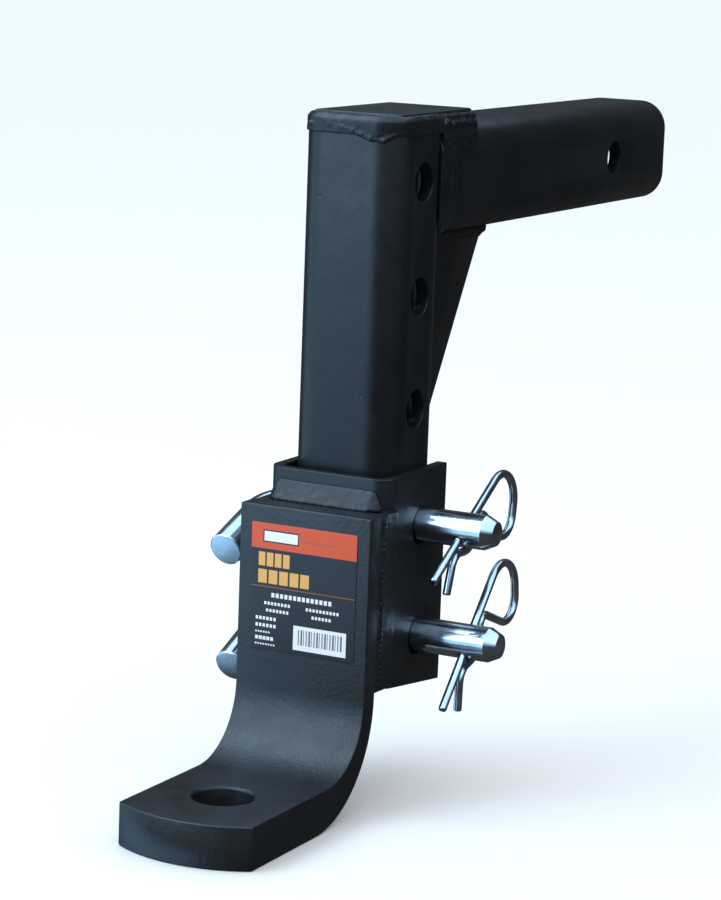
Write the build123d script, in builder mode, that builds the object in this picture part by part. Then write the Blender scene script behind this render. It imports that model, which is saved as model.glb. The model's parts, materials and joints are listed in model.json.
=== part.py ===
"""Adjustable drop ball mount for a trailer hitch, in millimetres.

A square shank slides into the vehicle's receiver. An upright square tube is welded across its end, and
a U-shaped channel, held by two bent pins, slides on the upright. A thick bent bar is welded to the
channel, and the hitch ball bolts through the hole in the bar's flat end.

+Z is up, +Y points along the shank into the receiver and +X is the side with the hairpin clips.
The origin is the centre of the hitch-pin hole through the shank.
"""
import os
from math import cos, radians, sin

from build123d import *

os.makedirs("parts", exist_ok=True)

# Square tube that both the shank and the upright are cut from
TUBE = 50.8
TUBE_WALL = 6.35
TUBE_CORNER = 14.0
TUBE_HALF = TUBE / 2

# Shank
HITCH_HOLE = 16.7
SHANK_PAST_HOLE = 68.0
SHANK_END_CHAMFER = 1.2

# Upright: its centre line, and five pairs of holes counted down from the top pair
UPRIGHT_Y = -216.0
ADJUST_HOLE = 17.5
HOLE_PITCH = 50.8
HOLE_PAIRS = 5
TOP_HOLE_Z = 1.2
UPRIGHT_BELOW_HOLES = 22.0

# Plate that closes the top of the upright and laps back onto the shank
CAP_WIDTH = 44.0
CAP_AHEAD = 19.0
CAP_BEHIND = 55.0
CAP_THICK = 6.35

# Pair of gusset plates in the corner under the shank
GUSSET_OUTER_X = 12.0
GUSSET_THICK = 6.35
GUSSET_LENGTH = 64.0
GUSSET_HEIGHT = 104.0
GUSSET_NOSE = 3.0
GUSSET_SNIPE = 8.0

# Weld beads
BEAD_PROUD = 1.5
BEAD_LEG = 5.5

# Pins hang the channel from the upright, so each hole is lower than the one that carries it
PIN = 15.88
HANG = 0.75

# Sliding channel
CHANNEL_THICK = 5.0
CHANNEL_INSIDE = 51.8
CHANNEL_FRONT = 34.2
CHANNEL_BACK = 24.0
CHANNEL_HEIGHT = 101.6
CHANNEL_BEND = 9.0
CHANNEL_SLOPE = 7.0

# Bent bar that carries the ball
BAR_WIDTH = 65.0
BAR_THICK = 19.05
BAR_BEND = 32.0
BAR_BELOW_CHANNEL_TOP = 13.9
BAR_BEVEL = 9.5
DROP = 280.0
BALL_HOLE = 27.0
BALL_HOLE_AHEAD = 118.5
TIP_AHEAD = 159.5
TIP_RADIUS = 60.0
BALL_HOLE_CHAMFER = 0.8

# Hitch pins
PIN_BEND = 12.0
PIN_LEG = 43.0
PIN_NOSE = 5.2
PIN_NOSE_DEPTH = 2.5
PIN_TIP_TO_CLIP = 16.0

# Hairpin clips
WIRE = 3.8
CLIP_HOLE = 4.8

# Sticker
LABEL_WIDTH = 53.0
LABEL_HEIGHT = 58.0
LABEL_THICK = 0.35
LABEL_BELOW_BAR_TOP = 7.6

# Worked-out places
UPRIGHT_BACK_Y = UPRIGHT_Y + TUBE_HALF
HOLE_Z = [TOP_HOLE_Z - HOLE_PITCH * pair for pair in range(HOLE_PAIRS)]
UPRIGHT_BOTTOM_Z = HOLE_Z[-1] - UPRIGHT_BELOW_HOLES
PIN_Z = {"lower": HOLE_Z[-1] - HANG, "upper": HOLE_Z[-2] - HANG}
CHANNEL_HOLE_Z = {side: z - HANG for side, z in PIN_Z.items()}
CHANNEL_MID_Z = sum(CHANNEL_HOLE_Z.values()) / 2
CHANNEL_TOP_Z = CHANNEL_MID_Z + CHANNEL_HEIGHT / 2
CHANNEL_BOTTOM_Z = CHANNEL_MID_Z - CHANNEL_HEIGHT / 2
CHANNEL_OUTSIDE = CHANNEL_INSIDE + 2 * CHANNEL_THICK
WEB_FRONT_Y = UPRIGHT_Y - CHANNEL_FRONT
BAR_FRONT_Y = WEB_FRONT_Y - BAR_THICK
BAR_TOP_Z = CHANNEL_TOP_Z - BAR_BELOW_CHANNEL_TOP
PLATFORM_Z = TUBE_HALF - DROP
TIP_Y = UPRIGHT_Y - TIP_AHEAD
BALL_HOLE_Y = UPRIGHT_Y - BALL_HOLE_AHEAD

# Each pin: how far its tip is from the upright's centre plane, and how far its bent leg droops
PIN_TIP_X = {"lower": 72.5, "upper": 68.5}
PIN_DROOP = {"lower": 25.0, "upper": 21.0}
PIN_SHAFT = 103.8
CLIP_TILT = {"lower": 47.5, "upper": 31.0}


def square_tube(plane, length):
    """Hollow square tube with round corners, from the plane along its normal."""
    with BuildPart() as tube:
        with BuildSketch(plane):
            RectangleRounded(TUBE, TUBE, TUBE_CORNER)
            inside = TUBE - 2 * TUBE_WALL
            RectangleRounded(inside, inside, TUBE_CORNER - TUBE_WALL, mode=Mode.SUBTRACT)
        extrude(amount=length)
    return tube.part


def square_bar(plane, length, grow=0.0):
    """The tube's outer shape as a solid, to cut beads back to its faces."""
    with BuildPart() as bar:
        with BuildSketch(plane):
            RectangleRounded(TUBE + 2 * grow, TUBE + 2 * grow, TUBE_CORNER + grow)
        extrude(amount=length)
    return bar.part


# The shank's section stands on a plane at the back of the upright, facing +Y
SHANK_PLANE = Plane(origin=(0, UPRIGHT_BACK_Y, 0), x_dir=(-1, 0, 0), z_dir=(0, 1, 0))
SHANK_LENGTH = SHANK_PAST_HOLE - UPRIGHT_BACK_Y
UPRIGHT_PLANE = Plane(origin=(0, UPRIGHT_Y, UPRIGHT_BOTTOM_Z))
UPRIGHT_LENGTH = TUBE_HALF - UPRIGHT_BOTTOM_Z
shank_stock = square_tube(SHANK_PLANE, SHANK_LENGTH)
shank_outline = square_bar(SHANK_PLANE, SHANK_LENGTH)
upright_stock = square_tube(UPRIGHT_PLANE, UPRIGHT_LENGTH)
upright_outline = square_bar(UPRIGHT_PLANE, UPRIGHT_LENGTH)

# Shank, open at its far end, with the hitch-pin hole through both sides
with BuildPart() as shank_tube:
    add(shank_stock)
    Cylinder(HITCH_HOLE / 2, TUBE * 1.2, rotation=(0, 90, 0), mode=Mode.SUBTRACT)
    end_face = shank_tube.faces().sort_by(Axis.Y)[-1]
    chamfer(end_face.outer_wire().edges(), SHANK_END_CHAMFER)

# Upright, with its five pairs of adjusting holes
with BuildPart() as drop_tube:
    add(upright_stock)
    with Locations([(0, UPRIGHT_Y, z) for z in HOLE_Z]):
        Cylinder(ADJUST_HOLE / 2, TUBE * 1.2, rotation=(0, 90, 0), mode=Mode.SUBTRACT)

# Cap plate, flat on the upright's end and on the top of the shank
CAP_LENGTH = CAP_AHEAD + CAP_BEHIND
CAP_MID_Y = UPRIGHT_Y + (CAP_BEHIND - CAP_AHEAD) / 2
with BuildPart() as cap_plate:
    with BuildSketch(Plane.XY.offset(TUBE_HALF)):
        with Locations((0, CAP_MID_Y)):
            RectangleRounded(CAP_WIDTH, CAP_LENGTH, 3)
    extrude(amount=CAP_THICK)
    chamfer(cap_plate.faces().sort_by(Axis.Z)[-1].edges(), 0.8)

# Bead round the cap plate: it laps over the upright's top edge, and runs back along the plate's sides
# to fill the groove over the shank's round corners
CAP_BEAD_PROUD = 0.9
CAP_BEAD_BELOW = 3.0
CAP_BEAD_UP = 5.5
CAP_HALF = CAP_WIDTH / 2
COLLAR_FROM = UPRIGHT_Y + 17.0
COLLAR_LENGTH = 36.0
COLLAR_OUTLINE = [
    (CAP_HALF, TUBE_HALF),
    (CAP_HALF, TUBE_HALF + CAP_BEAD_UP),
    (CAP_HALF + 2.0, TUBE_HALF + CAP_BEAD_UP - 1.5),
    (TUBE_HALF + 1.4, TUBE_HALF - 5.0),
    (TUBE_HALF + 0.8, TUBE_HALF - 11.5),
    (TUBE_HALF - 5.0, TUBE_HALF - 11.5),
    (CAP_HALF - 7.0, TUBE_HALF - 2.0),
    (CAP_HALF - 7.0, TUBE_HALF),
]
with BuildPart() as cap_weld:
    with BuildSketch(Plane.XY.offset(TUBE_HALF - CAP_BEAD_BELOW)):
        with Locations((0, UPRIGHT_Y)):
            bead_width = TUBE + 2 * CAP_BEAD_PROUD
            RectangleRounded(bead_width, bead_width, TUBE_CORNER + CAP_BEAD_PROUD)
        with Locations((0, CAP_MID_Y)):
            RectangleRounded(CAP_WIDTH, CAP_LENGTH, 3, mode=Mode.SUBTRACT)
        with Locations((0, UPRIGHT_BACK_Y)):
            Rectangle(TUBE * 2, 12, mode=Mode.SUBTRACT)
    extrude(amount=CAP_BEAD_BELOW + CAP_BEAD_UP)
    top_edges = cap_weld.faces().sort_by(Axis.Z)[-1].outer_wire().edges()
    chamfer(top_edges.filter_by(lambda edge: abs(edge.center().X) > CAP_WIDTH / 2 + 1), 2.0)
    with BuildSketch(Plane(origin=(0, COLLAR_FROM, 0), x_dir=(-1, 0, 0), z_dir=(0, 1, 0))):
        Polygon(*COLLAR_OUTLINE, align=None)
        Polygon(*[(-x, z) for x, z in COLLAR_OUTLINE], align=None)
    extrude(amount=COLLAR_LENGTH)
    add(upright_outline, mode=Mode.SUBTRACT)
    add(shank_outline, mode=Mode.SUBTRACT)

# Gussets: both plates have the same outline, one each side of the middle
GUSSET_PLANE = Plane(origin=(0, UPRIGHT_BACK_Y, -TUBE_HALF), x_dir=(0, 1, 0), z_dir=(1, 0, 0))
GUSSET_OUTLINE = [
    (GUSSET_SNIPE, 0),
    (GUSSET_LENGTH, 0),
    (GUSSET_LENGTH, -GUSSET_NOSE),
    (GUSSET_NOSE, -GUSSET_HEIGHT),
    (0, -GUSSET_HEIGHT),
    (0, -GUSSET_SNIPE),
]


def gusset_plate(inner_x):
    """One triangular plate with blunt ends and a snipped inner corner."""
    with BuildPart() as plate:
        with BuildSketch(GUSSET_PLANE.offset(inner_x)):
            Polygon(*GUSSET_OUTLINE, align=None)
        extrude(amount=GUSSET_THICK)
    return plate.part


GUSSET_INNER_X = {"left": -GUSSET_OUTER_X, "right": GUSSET_OUTER_X - GUSSET_THICK}
gussets = {side: gusset_plate(inner_x) for side, inner_x in GUSSET_INNER_X.items()}

# Bead between the shank and the upright: it fills the groove beside the upright's round corners
SHANK_BEAD_FROM = UPRIGHT_BACK_Y - 10.0
SHANK_BEAD_LENGTH = 16.0
SHANK_BEAD_PLANE = Plane(origin=(0, SHANK_BEAD_FROM, 0), x_dir=(1, 0, 0), z_dir=(0, 1, 0))
shank_bead_stock = square_bar(SHANK_BEAD_PLANE, SHANK_BEAD_LENGTH, BEAD_PROUD)
with BuildPart() as shank_weld:
    add(shank_bead_stock)
    bead_end = shank_weld.faces().sort_by(Axis.Y)[-1]
    chamfer(bead_end.edges(), 1.2)
    add(upright_outline, mode=Mode.SUBTRACT)
    add(shank_outline, mode=Mode.SUBTRACT)
    add(cap_weld.part, mode=Mode.SUBTRACT)
    with Locations((0, UPRIGHT_Y, TUBE_HALF + 5)):
        Box(TUBE * 2, TUBE * 2.4, 10, mode=Mode.SUBTRACT)
    with Locations((0, UPRIGHT_BACK_Y, -TUBE_HALF)):
        Box(2 * GUSSET_OUTER_X, 40, 20, mode=Mode.SUBTRACT)


def gusset_bead(side):
    """Fillet along a gusset's outer face, under the shank and down the back of the upright."""
    sign = 1 if side == "right" else -1
    face_x = sign * GUSSET_OUTER_X
    out_x = sign * (GUSSET_OUTER_X + BEAD_LEG)
    with BuildPart() as bead:
        with BuildSketch(SHANK_PLANE):
            deep = -TUBE_HALF - BEAD_LEG
            Polygon((-face_x, deep), (-face_x, 1 - TUBE_HALF), (-out_x, 4 - TUBE_HALF), align=None)
        extrude(amount=GUSSET_LENGTH)
        with BuildSketch(Plane.XY.offset(-TUBE_HALF)):
            deep = UPRIGHT_BACK_Y + BEAD_LEG
            Polygon((face_x, deep), (face_x, UPRIGHT_BACK_Y - 1), (out_x, UPRIGHT_BACK_Y - 4), align=None)
        extrude(amount=-GUSSET_HEIGHT)
        add(upright_outline, mode=Mode.SUBTRACT)
        add(shank_outline, mode=Mode.SUBTRACT)
        add(shank_weld.part, mode=Mode.SUBTRACT)
    return bead.part


gusset_welds = {side: gusset_bead(side) for side in gussets}

# Sliding channel: web in front, one flange each side, open at the back
with BuildPart() as slide_channel:
    depth = CHANNEL_FRONT + CHANNEL_BACK
    with BuildSketch(Plane.XY.offset(CHANNEL_BOTTOM_Z - CHANNEL_SLOPE)):
        with Locations((0, UPRIGHT_Y + CHANNEL_BACK - depth / 2)):
            Rectangle(CHANNEL_OUTSIDE, depth)
        with Locations((0, UPRIGHT_Y + CHANNEL_BACK - (depth - CHANNEL_THICK) / 2)):
            Rectangle(CHANNEL_INSIDE, depth - CHANNEL_THICK, mode=Mode.SUBTRACT)
    extrude(amount=CHANNEL_HEIGHT + CHANNEL_SLOPE)
    uprights = slide_channel.edges().filter_by(Axis.Z)
    fillet(uprights.filter_by(lambda edge: abs(edge.center().Y - WEB_FRONT_Y) < 0.1), CHANNEL_BEND)
    inner_y = WEB_FRONT_Y + CHANNEL_THICK
    uprights = slide_channel.edges().filter_by(Axis.Z)
    fillet(uprights.filter_by(lambda edge: abs(edge.center().Y - inner_y) < 0.1),
           CHANNEL_BEND - CHANNEL_THICK)
    # The lower end is cut on a slope, higher at the web
    with BuildSketch(Plane.YZ.offset(-CHANNEL_OUTSIDE)):
        low = CHANNEL_BOTTOM_Z - CHANNEL_SLOPE
        Polygon((WEB_FRONT_Y - 1, low - 1), (UPRIGHT_Y + CHANNEL_BACK + 1, low - 1),
                (UPRIGHT_Y + CHANNEL_BACK + 1, CHANNEL_BOTTOM_Z),
                (WEB_FRONT_Y - 1, CHANNEL_BOTTOM_Z + CHANNEL_SLOPE), align=None)
    extrude(amount=2 * CHANNEL_OUTSIDE, mode=Mode.SUBTRACT)
    with Locations([(0, UPRIGHT_Y, z) for z in CHANNEL_HOLE_Z.values()]):
        Cylinder(ADJUST_HOLE / 2, CHANNEL_OUTSIDE * 1.2, rotation=(0, 90, 0), mode=Mode.SUBTRACT)


def bar_section(x, bevel):
    """Side view of the bent bar on the plane at x; bevel is how far its back edge is set forward."""
    back_y = WEB_FRONT_Y - bevel
    back_bend = BAR_BEND + BAR_THICK
    under_z = PLATFORM_Z - BAR_THICK
    tip_y = TIP_Y - 5
    with BuildSketch(Plane.YZ.offset(x)) as section:
        with BuildLine():
            Line((tip_y, PLATFORM_Z), (BAR_FRONT_Y - BAR_BEND, PLATFORM_Z))
            JernArc((BAR_FRONT_Y - BAR_BEND, PLATFORM_Z), (1, 0), BAR_BEND, 90)
            Line((BAR_FRONT_Y, PLATFORM_Z + BAR_BEND), (BAR_FRONT_Y, BAR_TOP_Z))
            Line((BAR_FRONT_Y, BAR_TOP_Z), (back_y, BAR_TOP_Z))
            Line((back_y, BAR_TOP_Z), (back_y, under_z + back_bend))
            JernArc((back_y, under_z + back_bend), (0, -1), back_bend, -90)
            Line((back_y - back_bend, under_z), (tip_y, under_z))
            Line((tip_y, under_z), (tip_y, PLATFORM_Z))
        make_face()
    return section.sketch


# Bent bar: full thickness in the middle, its two back edges bevelled for the side welds
BAR_HALF = BAR_WIDTH / 2
BAR_FLAT_HALF = BAR_HALF - BAR_BEVEL
flat_sections = {sign: bar_section(sign * BAR_FLAT_HALF, 0) for sign in (1, -1)}
edge_sections = {sign: bar_section(sign * BAR_HALF, BAR_BEVEL) for sign in (1, -1)}
with BuildPart() as ball_platform:
    extrude(flat_sections[-1], amount=2 * BAR_FLAT_HALF)
    for sign in (1, -1):
        loft(sections=[flat_sections[sign].face(), edge_sections[sign].face()], ruled=True)
    # Rounded tip
    with BuildSketch(Plane.XY.offset(PLATFORM_Z - 2 * BAR_THICK)):
        with Locations((0, TIP_Y)):
            Rectangle(2 * BAR_WIDTH, 40)
        with Locations((0, TIP_Y + TIP_RADIUS)):
            Circle(TIP_RADIUS, mode=Mode.SUBTRACT)
    extrude(amount=3 * BAR_THICK, mode=Mode.SUBTRACT)
    with Locations((0, BALL_HOLE_Y, PLATFORM_Z - BAR_THICK / 2)):
        Cylinder(BALL_HOLE / 2, 2 * BAR_THICK, mode=Mode.SUBTRACT)
    hole_edges = ball_platform.edges().filter_by(GeomType.CIRCLE).filter_by(
        lambda edge: abs(edge.radius - BALL_HOLE / 2) < 0.01)
    chamfer(hole_edges, BALL_HOLE_CHAMFER)

# Fillet on top of the bar against the channel's web
TOP_BEAD_LENGTH = 56.0
TOP_BEAD_UP = 9.0
with BuildPart() as platform_top_weld:
    with BuildSketch(Plane.YZ.offset(-TOP_BEAD_LENGTH / 2)):
        Polygon((WEB_FRONT_Y + 2, BAR_TOP_Z), (WEB_FRONT_Y - BEAD_LEG, BAR_TOP_Z),
                (WEB_FRONT_Y - BEAD_LEG, BAR_TOP_Z + 1.2), (WEB_FRONT_Y - 1.2, BAR_TOP_Z + TOP_BEAD_UP),
                (WEB_FRONT_Y + 2, BAR_TOP_Z + TOP_BEAD_UP), align=None)
    extrude(amount=TOP_BEAD_LENGTH)
    add(slide_channel.part, mode=Mode.SUBTRACT)
    with Locations((0, UPRIGHT_Y, BAR_TOP_Z)):
        Box(CHANNEL_INSIDE, 2 * (CHANNEL_FRONT - CHANNEL_THICK), 40, mode=Mode.SUBTRACT)

# Fillet under the channel's web, against the bar's back
WEB_BOTTOM_Z = CHANNEL_BOTTOM_Z + CHANNEL_SLOPE
with BuildPart() as platform_bottom_weld:
    with BuildSketch(Plane.YZ.offset(-BAR_FLAT_HALF)):
        Polygon((WEB_FRONT_Y, WEB_BOTTOM_Z + 1), (WEB_FRONT_Y, WEB_BOTTOM_Z - BEAD_LEG),
                (WEB_FRONT_Y + CHANNEL_THICK - 0.5, WEB_BOTTOM_Z - 0.5),
                (WEB_FRONT_Y + CHANNEL_THICK - 0.5, WEB_BOTTOM_Z + 1), align=None)
    extrude(amount=2 * BAR_FLAT_HALF)
    add(slide_channel.part, mode=Mode.SUBTRACT)
    add(ball_platform.part, mode=Mode.SUBTRACT)


def side_bead(sign):
    """Bead that fills the groove between the bar's bevel and the channel's round corner."""
    bevel_x = BAR_HALF - 1.0
    flank_x = CHANNEL_OUTSIDE / 2
    with BuildPart() as bead:
        with BuildSketch(Plane.XY.offset(WEB_BOTTOM_Z)):
            points = [
                (bevel_x, WEB_FRONT_Y - BAR_BEVEL + 1.0),
                (flank_x + 1.0, WEB_FRONT_Y),
                (flank_x + 0.8, WEB_FRONT_Y + CHANNEL_BEND),
                (flank_x, WEB_FRONT_Y + CHANNEL_BEND + 1.5),
                (flank_x - 2.0, WEB_FRONT_Y + CHANNEL_BEND),
                (BAR_FLAT_HALF, WEB_FRONT_Y + 0.5),
                (BAR_FLAT_HALF, WEB_FRONT_Y - 1.0),
            ]
            Polygon(*[(sign * x, y) for x, y in points], align=None)
        extrude(amount=BAR_TOP_Z - WEB_BOTTOM_Z)
        add(slide_channel.part, mode=Mode.SUBTRACT)
        add(ball_platform.part, mode=Mode.SUBTRACT)
        with Locations((0, UPRIGHT_Y, CHANNEL_MID_Z)):
            Box(CHANNEL_INSIDE + 1, 2 * (CHANNEL_FRONT - CHANNEL_THICK), 2 * CHANNEL_HEIGHT,
                mode=Mode.SUBTRACT)
        add(platform_bottom_weld.part, mode=Mode.SUBTRACT)
    return bead.part


side_welds = {"left": side_bead(-1), "right": side_bead(1)}

# Sticker on the bar's front face
LABEL_MID_Z = BAR_TOP_Z - LABEL_BELOW_BAR_TOP - LABEL_HEIGHT / 2
with BuildPart() as label:
    with BuildSketch(Plane(origin=(0, BAR_FRONT_Y, LABEL_MID_Z), x_dir=(1, 0, 0), z_dir=(0, -1, 0))):
        RectangleRounded(LABEL_WIDTH, LABEL_HEIGHT, 1.5)
    extrude(amount=LABEL_THICK)


def hitch_pin(side):
    """Round pin with a bent leg, a tapered nose and a cross hole for its clip."""
    droop = radians(PIN_DROOP[side])
    leg = Vector(0, -cos(droop), -sin(droop))
    along = Vector(1, 0, 0)
    bend_x = PIN_TIP_X[side] - PIN_SHAFT
    plane = Plane(origin=(0, UPRIGHT_Y, PIN_Z[side]), x_dir=along, z_dir=along.cross(leg))
    with BuildPart() as pin:
        with BuildLine(plane) as route:
            Line((PIN_TIP_X[side], 0), (bend_x, 0))
            JernArc((bend_x, 0), (-1, 0), PIN_BEND, -90)
            Line((bend_x - PIN_BEND, PIN_BEND), (bend_x - PIN_BEND, PIN_LEG))
        with BuildSketch(Plane(origin=route.line @ 0, z_dir=route.line % 0)):
            Circle(PIN / 2)
        sweep()
        nose = pin.faces().sort_by(Axis.X)[-1]
        chamfer(nose.edges(), length=PIN_NOSE_DEPTH, length2=PIN_NOSE, reference=nose)
        heel = pin.faces().filter_by(GeomType.PLANE).sort_by(Axis.X)[0]
        chamfer(heel.edges(), 0.6)
        tilt = CLIP_TILT[side]
        with Locations((PIN_TIP_X[side] - PIN_TIP_TO_CLIP, UPRIGHT_Y, PIN_Z[side])):
            Cylinder(CLIP_HOLE / 2, 2 * PIN, rotation=(tilt - 90, 0, 0), mode=Mode.SUBTRACT)
    return pin.part


def hairpin_clip(side):
    """Spring-wire clip: a straight leg through the pin, a loop, and a wavy leg that grips its outside."""
    tilt = radians(CLIP_TILT[side])
    plane = Plane(origin=(PIN_TIP_X[side] - PIN_TIP_TO_CLIP, UPRIGHT_Y, PIN_Z[side]),
                  x_dir=(0, cos(tilt), sin(tilt)), z_dir=(-1, 0, 0))
    with BuildPart() as clip:
        with BuildLine(plane) as route:
            straight = Line((-36, 0), (34.31, 0))
            loop_top = JernArc(straight @ 1, straight % 1, 14.5, 130)
            loop_side = Line(loop_top @ 1, loop_top @ 1 + (loop_top % 1) * 4.5)
            loop_end = JernArc(loop_side @ 1, loop_side % 1, 10, 118)
            back = Line(loop_end @ 1, loop_end @ 1 + (loop_end % 1) * 18.57)
            waist = JernArc(back @ 1, back % 1, 5, -98)
            rise = Line(waist @ 1, waist @ 1 + (waist % 1) * 7.5)
            hump = JernArc(rise @ 1, rise % 1, PIN / 2 + WIRE / 2 + 0.15, 65)
            fall = Line(hump @ 1, hump @ 1 + (hump % 1) * 3.5)
            waist_low = JernArc(fall @ 1, fall % 1, 8, -75)
            Line(waist_low @ 1, waist_low @ 1 + (waist_low % 1) * 12.5)
        with BuildSketch(Plane(origin=route.line @ 0, z_dir=route.line % 0)):
            Circle(WIRE / 2)
        sweep()
        ends = clip.faces().filter_by(GeomType.PLANE)
        chamfer(ends.edges(), 0.5)
    return clip.part


pins = {side: hitch_pin(side) for side in PIN_Z}
clips = {side: hairpin_clip(side) for side in PIN_Z}

shank_tube.part.label = "shank_tube"
export_step(shank_tube.part, "parts/shank_tube.step")
drop_tube.part.label = "drop_tube"
export_step(drop_tube.part, "parts/drop_tube.step")
cap_plate.part.label = "cap_plate"
export_step(cap_plate.part, "parts/cap_plate.step")
cap_weld.part.label = "cap_weld"
export_step(cap_weld.part, "parts/cap_weld.step")
shank_weld.part.label = "shank_weld"
export_step(shank_weld.part, "parts/shank_weld.step")
slide_channel.part.label = "slide_channel"
export_step(slide_channel.part, "parts/slide_channel.step")
ball_platform.part.label = "ball_platform"
export_step(ball_platform.part, "parts/ball_platform.step")
platform_top_weld.part.label = "platform_top_weld"
export_step(platform_top_weld.part, "parts/platform_top_weld.step")
platform_bottom_weld.part.label = "platform_bottom_weld"
export_step(platform_bottom_weld.part, "parts/platform_bottom_weld.step")
label.part.label = "label"
export_step(label.part, "parts/label.step")

# Pieces that come in pairs
PAIRS = [
    ("gusset_{}", gussets),
    ("gusset_weld_{}", gusset_welds),
    ("platform_side_weld_{}", side_welds),
    ("{}_pin", pins),
    ("{}_clip", clips),
]
for pattern, pair in PAIRS:
    for side, solid in pair.items():
        solid.label = pattern.format(side)
        export_step(solid, "parts/" + solid.label + ".step")
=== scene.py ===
"""Finished looks for the adjustable drop ball mount: black enamelled steel, rippled welds, bright zinc
pins and clips, and a printed sticker. Everything is in metres in the part's own frame, with +Z up,
+Y along the shank into the receiver and +X on the side of the hairpin clips."""

import json
import math
import random

import bpy
from mathutils import Matrix, Vector

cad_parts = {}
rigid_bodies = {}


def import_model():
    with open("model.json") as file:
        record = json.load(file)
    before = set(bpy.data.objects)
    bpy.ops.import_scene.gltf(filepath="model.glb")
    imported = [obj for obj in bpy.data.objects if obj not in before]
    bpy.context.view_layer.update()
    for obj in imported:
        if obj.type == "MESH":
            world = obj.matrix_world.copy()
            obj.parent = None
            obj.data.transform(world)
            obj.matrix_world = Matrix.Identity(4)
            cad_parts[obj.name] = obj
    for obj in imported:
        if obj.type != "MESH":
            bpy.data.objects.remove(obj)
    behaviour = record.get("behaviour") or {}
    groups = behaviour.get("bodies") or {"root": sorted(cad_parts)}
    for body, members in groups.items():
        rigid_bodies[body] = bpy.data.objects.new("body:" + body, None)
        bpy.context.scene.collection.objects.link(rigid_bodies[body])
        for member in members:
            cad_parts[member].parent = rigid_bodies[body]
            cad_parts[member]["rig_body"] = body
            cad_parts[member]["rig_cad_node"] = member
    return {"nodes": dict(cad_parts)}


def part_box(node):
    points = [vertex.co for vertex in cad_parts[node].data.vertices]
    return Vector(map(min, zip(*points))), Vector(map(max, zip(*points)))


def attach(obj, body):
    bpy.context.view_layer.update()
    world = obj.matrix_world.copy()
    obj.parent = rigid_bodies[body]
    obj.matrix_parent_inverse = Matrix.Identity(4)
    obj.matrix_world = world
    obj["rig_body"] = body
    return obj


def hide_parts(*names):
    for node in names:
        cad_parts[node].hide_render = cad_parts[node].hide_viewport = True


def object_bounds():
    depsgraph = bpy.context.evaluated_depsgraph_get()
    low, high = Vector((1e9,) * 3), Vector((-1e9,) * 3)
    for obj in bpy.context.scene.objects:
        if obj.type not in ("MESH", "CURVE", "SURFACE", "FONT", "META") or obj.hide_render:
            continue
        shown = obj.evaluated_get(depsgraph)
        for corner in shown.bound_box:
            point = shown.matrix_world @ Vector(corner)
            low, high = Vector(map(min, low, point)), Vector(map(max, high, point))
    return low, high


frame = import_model()
cad_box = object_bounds()


# ---- Shank -------------------------------------------------------------------------------------------
# A length of 2 inch square steel tube with round corners, sawn off and chamfered at its open end. One
# hole is drilled right through it for the receiver's pin. The whole weldment is dipped in black enamel,
# which dries to a satin skin with a fine orange peel, a few specks of dust and thin spots on the edges.

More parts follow.
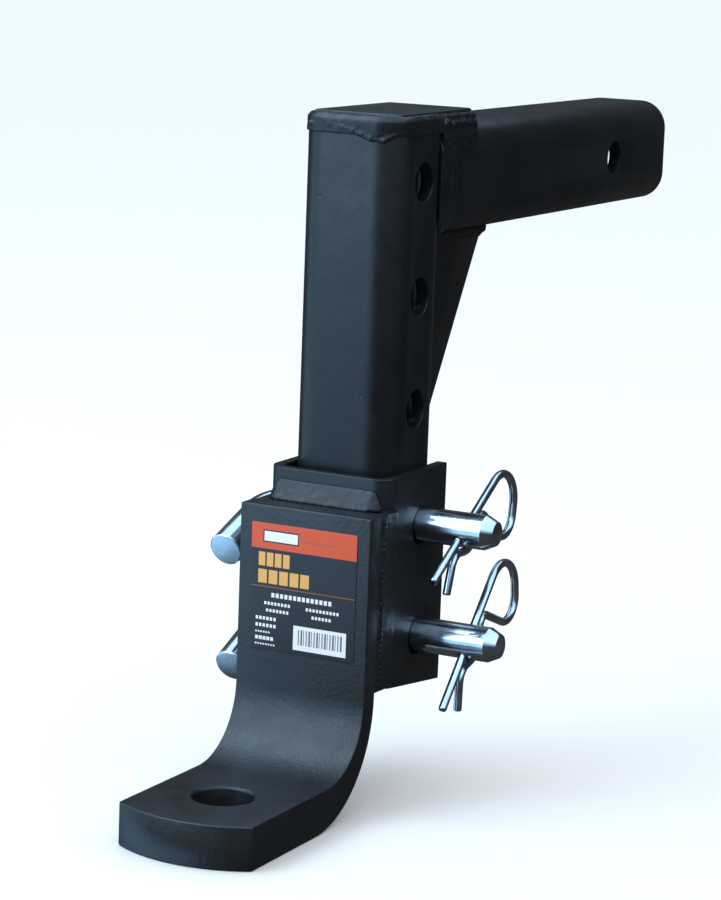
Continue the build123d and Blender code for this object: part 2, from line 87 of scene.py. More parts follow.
def black_enamel(name, dust=0.35, peel=0.5, flatness=0.30, shine=0.5):
    """Satin black enamel over rolled steel; dust is how grey the specks are, peel how rough the skin,
    flatness how far it is from a full gloss, and shine how strong its reflections are."""
    paint = bpy.data.materials.new(name)
    paint.use_nodes = True
    tree = paint.node_tree
    shader = tree.nodes["Principled BSDF"]
    shader.inputs["IOR"].default_value = 1.5
    shader.inputs["Specular IOR Level"].default_value = shine
    shader.inputs["Coat Weight"].default_value = 0.0
    place = tree.nodes.new("ShaderNodeTexCoord")

    # Broad cloudy change of tone where the enamel is thicker or thinner
    cloud = tree.nodes.new("ShaderNodeTexNoise")
    cloud.inputs["Scale"].default_value = 26.0
    cloud.inputs["Detail"].default_value = 4.0
    cloud.inputs["Roughness"].default_value = 0.6
    tree.links.new(place.outputs["Object"], cloud.inputs["Vector"])
    tone = tree.nodes.new("ShaderNodeValToRGB")
    tone.color_ramp.elements[0].position = 0.32
    tone.color_ramp.elements[0].color = (0.0030, 0.0033, 0.0036, 1)
    tone.color_ramp.elements[1].position = 0.70
    tone.color_ramp.elements[1].color = (0.0062, 0.0066, 0.0070, 1)
    tree.links.new(cloud.outputs["Fac"], tone.inputs["Fac"])

    # Specks of dust caught in the enamel
    specks = tree.nodes.new("ShaderNodeTexNoise")
    specks.inputs["Scale"].default_value = 420.0
    specks.inputs["Detail"].default_value = 3.0
    tree.links.new(place.outputs["Object"], specks.inputs["Vector"])
    speck_cut = tree.nodes.new("ShaderNodeMapRange")
    speck_cut.inputs["From Min"].default_value = 0.70
    speck_cut.inputs["From Max"].default_value = 0.80
    speck_cut.inputs["To Max"].default_value = dust
    tree.links.new(specks.outputs["Fac"], speck_cut.inputs["Value"])
    dusty = tree.nodes.new("ShaderNodeMix")
    dusty.data_type = "RGBA"
    dusty.inputs["B"].default_value = (0.05, 0.052, 0.054, 1)
    tree.links.new(speck_cut.outputs["Result"], dusty.inputs["Factor"])
    tree.links.new(tone.outputs["Color"], dusty.inputs["A"])
    tree.links.new(dusty.outputs["Result"], shader.inputs["Base Color"])

    # The gloss is uneven: flatter where dust lies, shinier where the enamel pooled
    gloss = tree.nodes.new("ShaderNodeTexNoise")
    gloss.inputs["Scale"].default_value = 70.0
    gloss.inputs["Detail"].default_value = 5.0
    gloss.inputs["Roughness"].default_value = 0.65
    tree.links.new(place.outputs["Object"], gloss.inputs["Vector"])
    gloss_range = tree.nodes.new("ShaderNodeMapRange")
    gloss_range.inputs["From Min"].default_value = 0.3
    gloss_range.inputs["From Max"].default_value = 0.7
    gloss_range.inputs["To Min"].default_value = flatness
    gloss_range.inputs["To Max"].default_value = flatness + 0.14
    tree.links.new(gloss.outputs["Fac"], gloss_range.inputs["Value"])
    tree.links.new(gloss_range.outputs["Result"], shader.inputs["Roughness"])

    # Orange peel about 1.5 mm across, over slow waves left by the rolled steel, with fine pits
    skin = tree.nodes.new("ShaderNodeTexNoise")
    skin.inputs["Scale"].default_value = 520.0
    skin.inputs["Detail"].default_value = 2.0
    tree.links.new(place.outputs["Object"], skin.inputs["Vector"])
    waves = tree.nodes.new("ShaderNodeTexNoise")
    waves.inputs["Scale"].default_value = 60.0
    waves.inputs["Detail"].default_value = 3.0
    tree.links.new(place.outputs["Object"], waves.inputs["Vector"])
    pits = tree.nodes.new("ShaderNodeTexVoronoi")
    pits.inputs["Scale"].default_value = 55.0
    tree.links.new(place.outputs["Object"], pits.inputs["Vector"])
    pit_depth = tree.nodes.new("ShaderNodeMapRange")
    pit_depth.inputs["From Min"].default_value = 0.02
    pit_depth.inputs["From Max"].default_value = 0.07
    tree.links.new(pits.outputs["Distance"], pit_depth.inputs["Value"])
    skin_bump = tree.nodes.new("ShaderNodeBump")
    skin_bump.inputs["Strength"].default_value = peel
    skin_bump.inputs["Distance"].default_value = 0.00010
    tree.links.new(skin.outputs["Fac"], skin_bump.inputs["Height"])
    wave_bump = tree.nodes.new("ShaderNodeBump")
    wave_bump.inputs["Strength"].default_value = 0.5
    wave_bump.inputs["Distance"].default_value = 0.0006
    tree.links.new(waves.outputs["Fac"], wave_bump.inputs["Height"])
    tree.links.new(skin_bump.outputs["Normal"], wave_bump.inputs["Normal"])
    pit_bump = tree.nodes.new("ShaderNodeBump")
    pit_bump.inputs["Strength"].default_value = 0.6
    pit_bump.inputs["Distance"].default_value = 0.0003
    tree.links.new(pit_depth.outputs["Result"], pit_bump.inputs["Height"])
    tree.links.new(wave_bump.outputs["Normal"], pit_bump.inputs["Normal"])
    tree.links.new(pit_bump.outputs["Normal"], shader.inputs["Normal"])
    return paint


def softened_copy(node, body, edge, finish, name, crease=32):
    """A merged copy of a CAD node whose sharp edges are rounded by edge metres; it stands for the node.
    Edges that turn by less than crease degrees are shaded smooth."""
    bpy.ops.object.select_all(action="DESELECT")
    piece = frame["nodes"][node].copy()
    piece.data = piece.data.copy()
    piece.name = name
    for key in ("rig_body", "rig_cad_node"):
        if key in piece:
            del piece[key]
    piece.parent = None
    bpy.context.scene.collection.objects.link(piece)
    bpy.context.view_layer.objects.active = piece
    piece.select_set(True)
    bpy.ops.mesh.customdata_custom_splitnormals_clear()
    bpy.ops.object.mode_set(mode="EDIT")
    bpy.ops.mesh.select_all(action="SELECT")
    bpy.ops.mesh.remove_doubles(threshold=0.00001)
    bpy.ops.mesh.dissolve_limited(angle_limit=math.radians(0.4))
    bpy.ops.object.mode_set(mode="OBJECT")
    rounding = piece.modifiers.new("rounded edges", "BEVEL")
    rounding.width = edge
    rounding.segments = 3
    rounding.limit_method = "ANGLE"
    rounding.angle_limit = math.radians(crease - 4)
    rounding.miter_outer = "MITER_ARC"
    bpy.ops.object.modifier_apply(modifier=rounding.name)
    bpy.ops.object.mode_set(mode="EDIT")
    bpy.ops.mesh.select_all(action="SELECT")
    bpy.ops.mesh.quads_convert_to_tris(quad_method="BEAUTY", ngon_method="BEAUTY")
    bpy.ops.object.mode_set(mode="OBJECT")
    bpy.ops.object.shade_smooth_by_angle(angle=math.radians(crease))
    piece.data.materials.clear()
    piece.data.materials.append(finish)
    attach(piece, body)
    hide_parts(node)
    return piece


tube_enamel = black_enamel("enamel on tube")
softened_copy("shank_tube", "shank", 0.0006, tube_enamel, "shank_bar")


# ---- Upright -----------------------------------------------------------------------------------------
# The same square tube, welded across the shank's end. Five pairs of holes are drilled through it two
# inches apart, so that the ball can be set at different heights.

softened_copy("drop_tube", "shank", 0.0006, tube_enamel, "upright_bar")


# ---- Cap plate ---------------------------------------------------------------------------------------
# A flat piece of 6 mm plate that closes the top of the upright and laps back onto the shank. Its cut
# edges are ground round before it is welded on.

softened_copy("cap_plate", "shank", 0.0009, tube_enamel, "cap_lid")


# ---- Gussets -----------------------------------------------------------------------------------------
# Two triangular plates that stiffen the corner under the shank, cut from quarter inch plate.

for side in ("left", "right"):
    softened_copy("gusset_" + side, "shank", 0.0007, tube_enamel, "gusset_web_" + side)


# ---- Welds round the cap plate -----------------------------------------------------------------------
# Hand-laid arc beads. Each bead is a row of overlapping ripples, a little uneven, with a lump where the
# welder stopped and started, and the enamel lies thicker in its hollows.

weld_enamel = black_enamel("enamel on weld", dust=0.2, peel=0.9)
random.seed(11)
lumps = bpy.data.textures.new("uneven bead", "CLOUDS")
lumps.noise_scale = 0.005
lumps.noise_depth = 3


def weld_bead(name, nodes, body, passes, lump=0.0005, voxel=0.0006, worn=3, run_out=None):
    """The CAD bead made uneven, with passes of overlapping ripples fused onto it. Each pass is its
    points, the radius of its ripples and the step between them. worn is how far they are smoothed.
    run_out is (half length, root y, root z) of a bead along X whose ends die away into its root."""
    bpy.ops.object.select_all(action="DESELECT")
    bead = frame["nodes"][nodes[0]].copy()
    bead.data = bead.data.copy()
    bead.name = name
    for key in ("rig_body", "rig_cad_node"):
        if key in bead:
            del bead[key]
    bead.parent = None
    bpy.context.scene.collection.objects.link(bead)
    bpy.context.view_layer.objects.active = bead
    bead.select_set(True)
    bpy.ops.object.mode_set(mode="EDIT")
    bpy.ops.mesh.select_all(action="SELECT")
    bpy.ops.mesh.remove_doubles(threshold=0.00001)
    if run_out:
        half_length, root_y, root_z = run_out
        for sign in (-1, 1):
            for from_end in (0.0045, 0.0030, 0.0016):
                slice_x = half_length - from_end
                bpy.ops.mesh.select_all(action="SELECT")
                bpy.ops.mesh.bisect(plane_co=(sign * slice_x, 0, 0), plane_no=(1, 0, 0))
                bpy.ops.object.mode_set(mode="OBJECT")
                bead.data.polygons.foreach_set("select", [False] * len(bead.data.polygons))
                bead.data.edges.foreach_set("select", [False] * len(bead.data.edges))
                for vertex in bead.data.vertices:
                    vertex.select = sign * vertex.co.x > slice_x + 0.0004
                bpy.ops.object.mode_set(mode="EDIT")
                bpy.ops.transform.resize(value=(1, 0.72, 0.62), center_override=(0, root_y, root_z))
    for points, radius, step in passes:
        for start, end in zip(points, points[1:]):
            start, end = Vector(start), Vector(end)
            run = end - start
            count = max(2, round(run.length / step))
            turn = run.to_track_quat("Z", "Y").to_euler()
            for ripple in range(count + 1):
                centre = start + run * ripple / count
                centre += Vector([random.uniform(-1, 1) * radius * 0.08 for _ in range(3)])
                size = radius * random.uniform(0.90, 1.06)
                bpy.ops.mesh.primitive_uv_sphere_add(segments=14, ring_count=9, radius=size, location=centre,
                                                     rotation=turn, scale=(1, 1, 0.62))
    bpy.ops.object.mode_set(mode="OBJECT")
    fuse = bead.modifiers.new("fused ripples", "REMESH")
    fuse.mode = "VOXEL"
    fuse.voxel_size = voxel
    bpy.ops.object.modifier_apply(modifier=fuse.name)
    uneven = bead.modifiers.new("uneven bead", "DISPLACE")
    uneven.texture = lumps
    uneven.texture_coords = "LOCAL"
    uneven.strength = lump
    uneven.mid_level = 0.55
    bpy.ops.object.modifier_apply(modifier=uneven.name)
    soften = bead.modifiers.new("enamel over ripples", "SMOOTH")
    soften.factor = 0.5
    soften.iterations = worn
    bpy.ops.object.modifier_apply(modifier=soften.name)
    bpy.ops.object.shade_smooth()
    bead.data.materials.clear()
    bead.data.materials.append(weld_enamel)
    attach(bead, body)
    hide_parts(*nodes)
    return bead


upright_low, upright_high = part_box("drop_tube")
upright_y = (upright_low.y + upright_high.y) / 2
half_tube = upright_high.x
cap_front_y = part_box("cap_plate")[0].y

# In front the bead is dressed nearly flush with the upright, and only its lower edge shows as a wavy
# line. Over the shank's round corners it is left rough, in two uneven rows.
front_edge = [
    (-0.0200, cap_front_y - 0.0055, 0.0262), (-0.0130, cap_front_y - 0.0058, 0.0252),
    (-0.0040, cap_front_y - 0.0060, 0.0256), (0.0040, cap_front_y - 0.0060, 0.0236),
    (0.0110, cap_front_y - 0.0060, 0.0212), (0.0165, cap_front_y - 0.0052, 0.0206),
    (0.0205, cap_front_y - 0.0022, 0.0232),
]
corner_lump = [(0.0150, cap_front_y - 0.0042, 0.0240), (0.0195, cap_front_y - 0.0010, 0.0262)]
plate_edge = [
    (-0.0222, cap_front_y + 0.0100, 0.0296), (-0.0205, cap_front_y + 0.0006, 0.0300),
    (-0.0150, cap_front_y - 0.0012, 0.0302), (0.0150, cap_front_y - 0.0012, 0.0298),
    (0.0205, cap_front_y + 0.0006, 0.0298), (0.0225, cap_front_y + 0.0100, 0.0292),
]
right_edge = [
    (0.0232, cap_front_y + 0.0060, 0.0250), (0.0240, upright_y - 0.004, 0.0256),
    (0.0240, upright_y + 0.010, 0.0250), (0.0238, upright_y + 0.022, 0.0245),
]
collar_high = [
    (0.0236, upright_y + 0.020, 0.0262), (0.0238, upright_y + 0.030, 0.0252),
    (0.0236, upright_y + 0.040, 0.0258), (0.0234, upright_y + 0.0505, 0.0250),
]
collar_low = [
    (0.0250, upright_y + 0.021, 0.0168), (0.0246, upright_y + 0.030, 0.0182),
    (0.0250, upright_y + 0.037, 0.0160), (0.0246, upright_y + 0.0500, 0.0180),
]
weld_bead("cap_bead", ["cap_weld"], "shank", [
    (front_edge[:3], 0.0010, 0.0012),
    (front_edge[2:], 0.0018, 0.0014),
    (corner_lump, 0.0026, 0.0020),
    (plate_edge, 0.0015, 0.0018),
    (right_edge, 0.0022, 0.0018),
    ([(-x, y, z) for x, y, z in right_edge], 0.0022, 0.0018),
    (collar_high, 0.0027, 0.0023),
    (collar_low, 0.0024, 0.0024),
    ([(-x, y, z) for x, y, z in collar_high], 0.0027, 0.0023),
    ([(-x, y, z) for x, y, z in collar_low], 0.0024, 0.0024),
], lump=0.0008, voxel=0.0005)


# ---- Weld between the shank and the upright ----------------------------------------------------------
# A wide bead run down each side of the joint, in the groove beside the upright's round corners, and
# carried round under the shank.

joint_y = upright_high.y
side_run = [
    (0.0252, joint_y - 0.0050, 0.0170), (0.0254, joint_y - 0.0052, 0.0040),
    (0.0254, joint_y - 0.0050, -0.0120), (0.0232, joint_y - 0.0045, -0.0205),
    (0.0190, joint_y - 0.0010, -0.0252),
]
outer_run = [
    (0.0254, joint_y + 0.0030, 0.0150), (0.0254, joint_y + 0.0034, -0.0120),
    (0.0222, joint_y + 0.0030, -0.0212),
]
weld_bead("shank_bead", ["shank_weld"], "shank", [
    (side_run, 0.0018, 0.0019),
    (outer_run, 0.0018, 0.0019),
    ([(-x, y, z) for x, y, z in side_run], 0.0018, 0.0019),
    ([(-x, y, z) for x, y, z in outer_run], 0.0018, 0.0019),
], lump=0.0008)


# ---- Gusset welds ------------------------------------------------------------------------------------
# One bead along each gusset's two straight edges, under the shank and down the back of the upright.

under_shank_z = -half_tube - 0.0012
for side, sign in (("left", -1), ("right", 1)):
    gusset_low, gusset_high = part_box("gusset_" + side)
    face = sign * (max(abs(gusset_low.x), abs(gusset_high.x)) + 0.0010)
    weld_bead("gusset_bead_" + side, ["gusset_weld_" + side], "shank", [
        ([(face, joint_y + 0.008, under_shank_z), (face, gusset_high.y - 0.0020, under_shank_z)],
         0.0027, 0.00235),
        ([(face, joint_y + 0.0012, under_shank_z - 0.0074), (face, joint_y + 0.0012, gusset_low.z + 0.0024)],
         0.0027, 0.0024),
    ], lump=0.0005)


# ---- Sliding channel ---------------------------------------------------------------------------------
# Steel plate 5 mm thick, folded into a U that slides on the upright, open at the back. Two pairs of
# holes take the pins, and its lower end is sawn on a slope.

head_enamel = black_enamel("enamel on head")
softened_copy("slide_channel", "head", 0.0007, head_enamel, "channel_sleeve")


# ---- Ball bar ----------------------------------------------------------------------------------------
# Three quarter inch flat bar, bent hot through a right angle with a wide inner radius. The tip is cut
# round, and the hole for the ball's shank is drilled and its rim broken.

bar_enamel = black_enamel("enamel on bar", dust=0.8, peel=1.6, flatness=0.34, shine=0.66)
softened_copy("ball_platform", "head", 0.0020, bar_enamel, "ball_bar")


# ---- Welds between the bar and the channel -----------------------------------------------------------
# A fillet on top of the bar, a bead down each side in the bar's bevelled edge, and one underneath.

web_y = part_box("slide_channel")[0].y
bar_top_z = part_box("ball_platform")[1].z
web_bottom_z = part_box("platform_side_weld_left")[0].z
top_bead_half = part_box("platform_top_weld")[1].x
toe_y = web_y - 0.0050
toe_z = bar_top_z + 0.0004
weld_bead("bar_top_bead", ["platform_top_weld"], "head", [
    ([(-0.0230, toe_y, toe_z), (0.0225, toe_y, toe_z)], 0.0013, 0.0016),
], lump=0.0010, voxel=0.0005, worn=9, run_out=(top_bead_half, web_y, bar_top_z))

under_y = web_y + 0.0014
under_z = web_bottom_z - 0.0018
weld_bead("bar_under_bead", ["platform_bottom_weld"], "head", [
    ([(-0.022, under_y, under_z), (0.022, under_y, under_z)], 0.0024, 0.0022),
])

side_top_z = bar_top_z - 0.004
side_bottom_z = web_bottom_z + 0.004
for side, sign in (("left", -1), ("right", 1)):
    inner_row = (sign * 0.0300, web_y + 0.0022)
    outer_row = (sign * 0.0308, web_y - 0.0040)
    weld_bead("bar_side_bead_" + side, ["platform_side_weld_" + side], "head", [
        ([(*inner_row, side_top_z), (*inner_row, side_bottom_z)], 0.0020, 0.0024),
        ([(*outer_row, side_top_z), (*outer_row, side_bottom_z)], 0.0020, 0.0024),
    ], lump=0.0006)


# ---- Pins --------------------------------------------------------------------------------------------
# Five-eighths round steel, bent at the handle end and turned to a taper at the nose, with a cross hole
# for the clip. The zinc plate is bright, with turning marks at the nose and light scuffs on the shaft.

def bright_zinc(name, rough_low, rough_high, scratch):
    """Bright zinc plate: cold white metal with faint cloudy patches and fine scratches."""
    plate = bpy.data.materials.new(name)
    plate.use_nodes = True
    tree = plate.node_tree
    shader = tree.nodes["Principled BSDF"]
    shader.inputs["Metallic"].default_value = 1.0
    place = tree.nodes.new("ShaderNodeTexCoord")
    cloud = tree.nodes.new("ShaderNodeTexNoise")
    cloud.inputs["Scale"].default_value = 90.0
    cloud.inputs["Detail"].default_value = 4.0
    tree.links.new(place.outputs["Object"], cloud.inputs["Vector"])
    tone = tree.nodes.new("ShaderNodeValToRGB")
    tone.color_ramp.elements[0].position = 0.3
    tone.color_ramp.elements[0].color = (0.56, 0.62, 0.68, 1)
    tone.color_ramp.elements[1].position = 0.7
    tone.color_ramp.elements[1].color = (0.78, 0.83, 0.88, 1)
    tree.links.new(cloud.outputs["Fac"], tone.inputs["Fac"])
    tree.links.new(tone.outputs["Color"], shader.inputs["Base Color"])
    dull = tree.nodes.new("ShaderNodeMapRange")
    dull.inputs["From Min"].default_value = 0.35
    dull.inputs["From Max"].default_value = 0.65
    dull.inputs["To Min"].default_value = rough_low
    dull.inputs["To Max"].default_value = rough_high
    tree.links.new(cloud.outputs["Fac"], dull.inputs["Value"])
    tree.links.new(dull.outputs["Result"], shader.inputs["Roughness"])
    # Scratches run round the shaft, so the pattern is drawn out across X
    stretch = tree.nodes.new("ShaderNodeMapping")
    stretch.inputs["Scale"].default_value = (9.0, 0.6, 0.6)
    tree.links.new(place.outputs["Object"], stretch.inputs["Vector"])
    lines = tree.nodes.new("ShaderNodeTexNoise")
    lines.inputs["Scale"].default_value = 260.0
    lines.inputs["Detail"].default_value = 3.0
    tree.links.new(stretch.outputs["Vector"], lines.inputs["Vector"])
    dents = tree.nodes.new("ShaderNodeTexNoise")
    dents.inputs["Scale"].default_value = 150.0
    tree.links.new(place.outputs["Object"], dents.inputs["Vector"])
    line_bump = tree.nodes.new("ShaderNodeBump")
    line_bump.inputs["Strength"].default_value = scratch
    line_bump.inputs["Distance"].default_value = 0.00003
    tree.links.new(lines.outputs["Fac"], line_bump.inputs["Height"])
    dent_bump = tree.nodes.new("ShaderNodeBump")
    dent_bump.inputs["Strength"].default_value = 0.35
    dent_bump.inputs["Distance"].default_value = 0.0002
    tree.links.new(dents.outputs["Fac"], dent_bump.inputs["Height"])
    tree.links.new(line_bump.outputs["Normal"], dent_bump.inputs["Normal"])
    tree.links.new(dent_bump.outputs["Normal"], shader.inputs["Normal"])
    return plate


pin_zinc = bright_zinc("zinc on pin", 0.10, 0.22, 0.5)
for level in ("upper", "lower"):
    pin_name = level + "_hitch_pin"
    softened_copy(level + "_pin", level + "_pin", 0.0004, pin_zinc, pin_name, crease=20)


# ---- Hairpin clips -----------------------------------------------------------------------------------
# Hard-drawn spring wire, bent cold: one straight leg goes through the pin, and the wavy leg snaps round
# its outside. The wire is bright zinc plated, with drawing marks along it.

wire_zinc = bright_zinc("zinc on wire", 0.12, 0.26, 0.3)
for level in ("upper", "lower"):
    softened_copy(level + "_clip", level + "_clip", 0.0003, wire_zinc, level + "_hairpin")


# ---- Sticker -----------------------------------------------------------------------------------------
# A glossy printed vinyl sticker: a red band with a white block over a black field, rows of orange and
# white dashes, and a white panel of dark bars. It carries no words.

sticker = softened_copy("label", "head", 0.00012, head_enamel, "printed_sticker")
print_ink = bpy.data.materials.new("printed vinyl")
print_ink.use_nodes = True
ink_tree = print_ink.node_tree
ink = ink_tree.nodes["Principled BSDF"]
ink.inputs["Roughness"].default_value = 0.28
ink_place = ink_tree.nodes.new("ShaderNodeTexCoord")
ink_split = ink_tree.nodes.new("ShaderNodeSeparateXYZ")
ink_tree.links.new(ink_place.outputs["Object"], ink_split.inputs["Vector"])
sticker_low, sticker_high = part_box("label")
sticker_left = sticker_low.x
sticker_top = sticker_high.z


def inside_band(axis, low, high):
    """A node that is 1 between two places along an axis of the sticker, and 0 outside them."""
    middle = ink_tree.nodes.new("ShaderNodeMath")
    middle.operation = "COMPARE"
    middle.inputs[1].default_value = (low + high) / 2
    middle.inputs[2].default_value = (high - low) / 2
    ink_tree.links.new(ink_split.outputs[axis], middle.inputs[0])
    return middle.outputs["Value"]


# Each block is (left, right, top, bottom) in mm from the sticker's top left corner, and its colour
red = (0.56, 0.075, 0.022, 1)
orange = (0.66, 0.36, 0.09, 1)
rust = (0.26, 0.085, 0.04, 1)
white = (0.72, 0.75, 0.79, 1)
grey = (0.13, 0.14, 0.155, 1)
field = (0.016, 0.017, 0.020, 1)
blocks = [
    ((0.2, 52.8, 0.2, 11.8), red),
    ((6.0, 24.0, 3.2, 8.8), field),
    ((6.6, 23.4, 3.8, 8.2), white),
    ((0.6, 52.4, 28.7, 29.1), rust),
    ((22.6, 49.0, 44.6, 55.6), white),
]
# Rows of short dashes: (left, right, top, bottom, dash, gap), in mm, and their colour
rows = [
    ((26.5, 44.0, 6.2, 6.9, 1.1, 0.7), rust),
    ((4.0, 19.6, 13.4, 19.6, 3.3, 0.8), orange),
    ((4.0, 29.6, 21.2, 27.4, 4.4, 0.9), orange),
    ((11.0, 41.5, 31.4, 33.4, 1.5, 0.7), white),
    ((7.5, 22.0, 35.6, 37.0, 1.1, 0.6), white),
    ((8.5, 20.5, 38.8, 40.2, 1.1, 0.6), white),
    ((28.5, 45.0, 35.9, 37.3, 1.1, 0.6), white),
    ((31.5, 41.5, 39.2, 40.6, 1.1, 0.6), white),
    ((3.4, 14.6, 42.6, 44.1, 1.2, 0.6), white),
    ((3.4, 13.6, 45.8, 47.3, 1.2, 0.6), white),
    ((3.4, 11.4, 49.2, 50.0, 0.8, 0.5), white),
    ((3.4, 13.0, 51.6, 53.2, 1.5, 0.4), white),
    ((3.4, 13.8, 54.8, 55.5, 0.8, 0.5), white),
]
for (left, right, top, bottom, dash, gap), colour in rows:
    while left + dash <= right:
        blocks.append(((left, left + dash, top, bottom), colour))
        left += dash + gap
for stripe in range(17):
    stripe_left = 25.0 + 1.32 * stripe
    blocks.append(((stripe_left, stripe_left + (0.55, 0.9, 0.4)[stripe % 3], 46.2, 53.2), grey))
colour_so_far = None
for (left, right, top, bottom), colour in blocks:
    across = inside_band("X", sticker_left + left / 1000, sticker_left + right / 1000)
    down = inside_band("Z", sticker_top - bottom / 1000, sticker_top - top / 1000)
    both = ink_tree.nodes.new("ShaderNodeMath")
    both.operation = "MULTIPLY"
    ink_tree.links.new(across, both.inputs[0])
    ink_tree.links.new(down, both.inputs[1])
    layer = ink_tree.nodes.new("ShaderNodeMix")
    layer.data_type = "RGBA"
    layer.inputs["A"].default_value = field
    layer.inputs["B"].default_value = colour
    ink_tree.links.new(both.outputs["Value"], layer.inputs["Factor"])
    if colour_so_far is not None:
        ink_tree.links.new(colour_so_far, layer.inputs["A"])
    colour_so_far = layer.outputs["Result"]
ink_tree.links.new(colour_so_far, ink.inputs["Base Color"])
ink_wave = ink_tree.nodes.new("ShaderNodeTexNoise")
ink_wave.inputs["Scale"].default_value = 110.0
ink_tree.links.new(ink_place.outputs["Object"], ink_wave.inputs["Vector"])
ink_bump = ink_tree.nodes.new("ShaderNodeBump")
ink_bump.inputs["Strength"].default_value = 0.25
ink_bump.inputs["Distance"].default_value = 0.0004
ink_tree.links.new(ink_wave.outputs["Fac"], ink_bump.inputs["Height"])
ink_tree.links.new(ink_bump.outputs["Normal"], ink.inputs["Normal"])
sticker.data.materials.clear()
sticker.data.materials.append(print_ink)


# ---- Floor, light and camera -------------------------------------------------------------------------
# A plain pale studio floor that runs back past the horizon, a white room, a wide cool light in front on
# the left, and a softbox overhead.

floor_z = cad_box[0][2] - 0.0002
bpy.ops.object.select_all(action="DESELECT")
bpy.ops.mesh.primitive_plane_add(size=80, location=(0, 0, floor_z))
floor = bpy.context.object
floor.name = "studio_floor"
floor_paint = bpy.data.materials.new("pale floor")
floor_paint.use_nodes = True
floor_shader = floor_paint.node_tree.nodes["Principled BSDF"]
floor_shader.inputs["Base Color"].default_value = (0.90, 0.90, 0.90, 1)
floor_shader.inputs["Roughness"].default_value = 0.9
floor_shader.inputs["Specular IOR Level"].default_value = 0.1
floor.data.materials.append(floor_paint)
floor.visible_glossy = False

# The camera and the diffuse light see a plain white room. The gloss of the steel picks up a bright cool
# band low on the left in front, dark everywhere else at eye level, and cool white overhead
room = bpy.data.worlds.new("studio room")
room.use_nodes = True
room_tree = room.node_tree
sky = room_tree.nodes["Background"]
sky.inputs["Strength"].default_value = 1.0
heading = room_tree.nodes.new("ShaderNodeTexCoord")
facing = room_tree.nodes.new("ShaderNodeVectorMath")
facing.operation = "DOT_PRODUCT"
facing.inputs[1].default_value = (-0.766, -0.643, 0.0)
room_tree.links.new(heading.outputs["Generated"], facing.inputs[0])
front_share = room_tree.nodes.new("ShaderNodeMapRange")
front_share.interpolation_type = "SMOOTHSTEP"
front_share.inputs["From Min"].default_value = 0.50
front_share.inputs["From Max"].default_value = 0.86
room_tree.links.new(facing.outputs["Value"], front_share.inputs["Value"])
low_light = room_tree.nodes.new("ShaderNodeMix")
low_light.data_type = "RGBA"
low_light.inputs["A"].default_value = (0.05, 0.05, 0.05, 1)
low_light.inputs["B"].default_value = (0.62, 1.10, 1.62, 1)
room_tree.links.new(front_share.outputs["Result"], low_light.inputs["Factor"])
height = room_tree.nodes.new("ShaderNodeSeparateXYZ")
room_tree.links.new(heading.outputs["Generated"], height.inputs["Vector"])
above = room_tree.nodes.new("ShaderNodeMapRange")
above.interpolation_type = "SMOOTHSTEP"
above.inputs["From Min"].default_value = 0.05
above.inputs["From Max"].default_value = 0.60
room_tree.links.new(height.outputs["Z"], above.inputs["Value"])
room_light = room_tree.nodes.new("ShaderNodeMix")
room_light.data_type = "RGBA"
room_light.inputs["B"].default_value = (0.98, 1.42, 1.92, 1)
room_tree.links.new(above.outputs["Result"], room_light.inputs["Factor"])
room_tree.links.new(low_light.outputs["Result"], room_light.inputs["A"])
ray = room_tree.nodes.new("ShaderNodeLightPath")
seen = room_tree.nodes.new("ShaderNodeMix")
seen.data_type = "RGBA"
seen.inputs["B"].default_value = (1, 1, 1, 1)
plain = room_tree.nodes.new("ShaderNodeMath")
plain.operation = "MAXIMUM"
room_tree.links.new(ray.outputs["Is Camera Ray"], plain.inputs[0])
room_tree.links.new(ray.outputs["Is Diffuse Ray"], plain.inputs[1])
room_tree.links.new(plain.outputs["Value"], seen.inputs["Factor"])
room_tree.links.new(room_light.outputs["Result"], seen.inputs["A"])
room_tree.links.new(seen.outputs["Result"], sky.inputs["Color"])
bpy.context.scene.world = room
bpy.context.scene.view_settings.view_transform = "Standard"

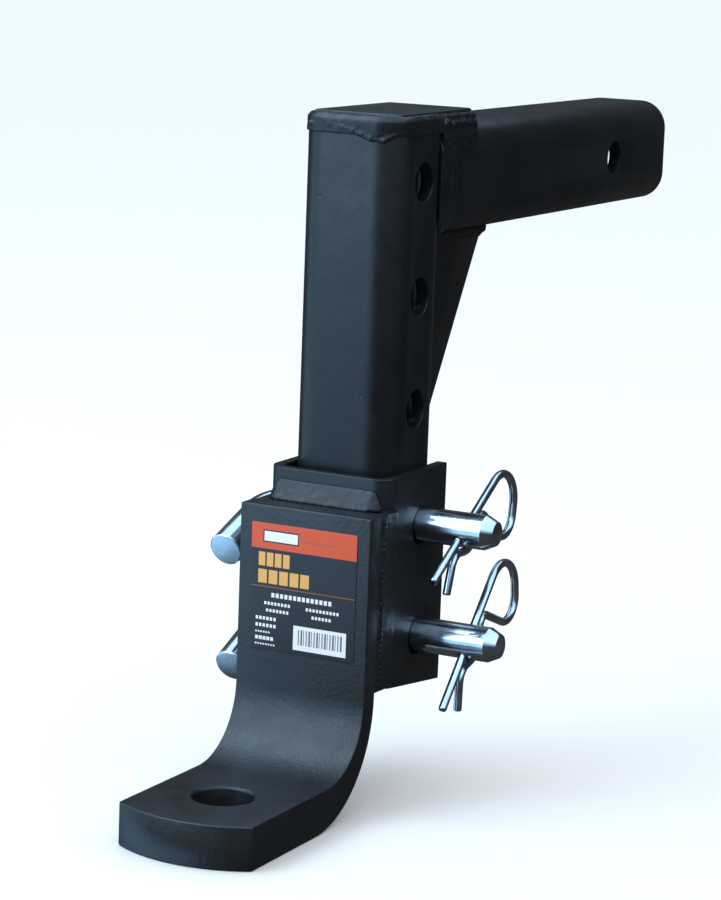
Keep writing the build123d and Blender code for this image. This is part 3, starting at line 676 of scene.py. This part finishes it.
# Grey cards that only the gloss picks up: behind, on the right, and on the floor before the bar's tip
sight = Vector((-0.456, 0.890, 0.0))
across = Vector((0.890, 0.456, 0.0))
for name, centre, facing_way, width, tall, shade in (
        ("card_behind", Vector((0, -0.15, 0.18)) + 0.75 * sight, sight, 3.0, 0.96, 0.07),
        ("card_right", Vector((0, -0.15, 0.25)) + 0.60 * across + 0.35 * sight, across, 1.0, 1.1, 0.03),
        ("card_low", Vector((-0.07, -0.47, floor_z + 0.001)), Vector((0, 0, 1)), 0.26, 0.16, 0.20)):
    bpy.ops.mesh.primitive_plane_add(size=1, location=centre)
    card = bpy.context.object
    card.name = name
    card.scale = (width, tall, 1)
    card.rotation_euler = facing_way.to_track_quat("Z", "Y").to_euler()
    card_grey = bpy.data.materials.new(name + " grey")
    card_grey.use_nodes = True
    card_shader = card_grey.node_tree.nodes["Principled BSDF"]
    card_shader.inputs["Base Color"].default_value = (0, 0, 0, 1)
    card_shader.inputs["Specular IOR Level"].default_value = 0.0
    card_shader.inputs["Emission Color"].default_value = (shade, shade, shade, 1)
    card_shader.inputs["Emission Strength"].default_value = 1.0
    card.data.materials.append(card_grey)
    card.visible_camera = False
    card.visible_diffuse = False
    card.visible_shadow = False
    card.visible_transmission = False

bpy.ops.object.light_add(type="AREA", location=(-0.9, -1.9, 0.75))
key_light = bpy.context.object
key_light.name = "cool_key_light"
key_light.data.size = 1.4
key_light.data.energy = 12
key_light.data.color = (0.62, 0.83, 1.0)
key_light.rotation_euler = (Vector((0, -0.2, -0.1)) - key_light.location).to_track_quat("-Z", "Y").to_euler()

bpy.ops.object.light_add(type="AREA", location=(-0.75, -0.65, 1.25))
top_light = bpy.context.object
top_light.name = "overhead_softbox"
top_light.data.shape = "RECTANGLE"
top_light.data.size = 1.1
top_light.data.size_y = 0.9
top_light.data.energy = 9
top_light.data.color = (0.60, 0.84, 1.0)
top_light.rotation_euler = (Vector((0, -0.2, -0.15)) - top_light.location).to_track_quat("-Z", "Y").to_euler()

camera_data = bpy.data.cameras.new("camera")
camera_data.sensor_width = 36
camera_data.sensor_fit = "HORIZONTAL"
camera_data.lens = 149.27
camera_data.shift_x = -0.0053
camera_data.shift_y = -0.0109
camera_data.clip_end = 200
camera = bpy.data.objects.new("camera", camera_data)
camera.location = (0.6082, -1.4012, 0.1215)
camera.rotation_euler = (
    Matrix.Rotation(math.radians(27.15), 3, "Z")
    @ Matrix.Rotation(math.radians(90 - 10.2), 3, "X")
    @ Matrix.Rotation(math.radians(2.15), 3, "Z")
).to_euler()
bpy.context.scene.collection.objects.link(camera)
bpy.context.scene.camera = camera
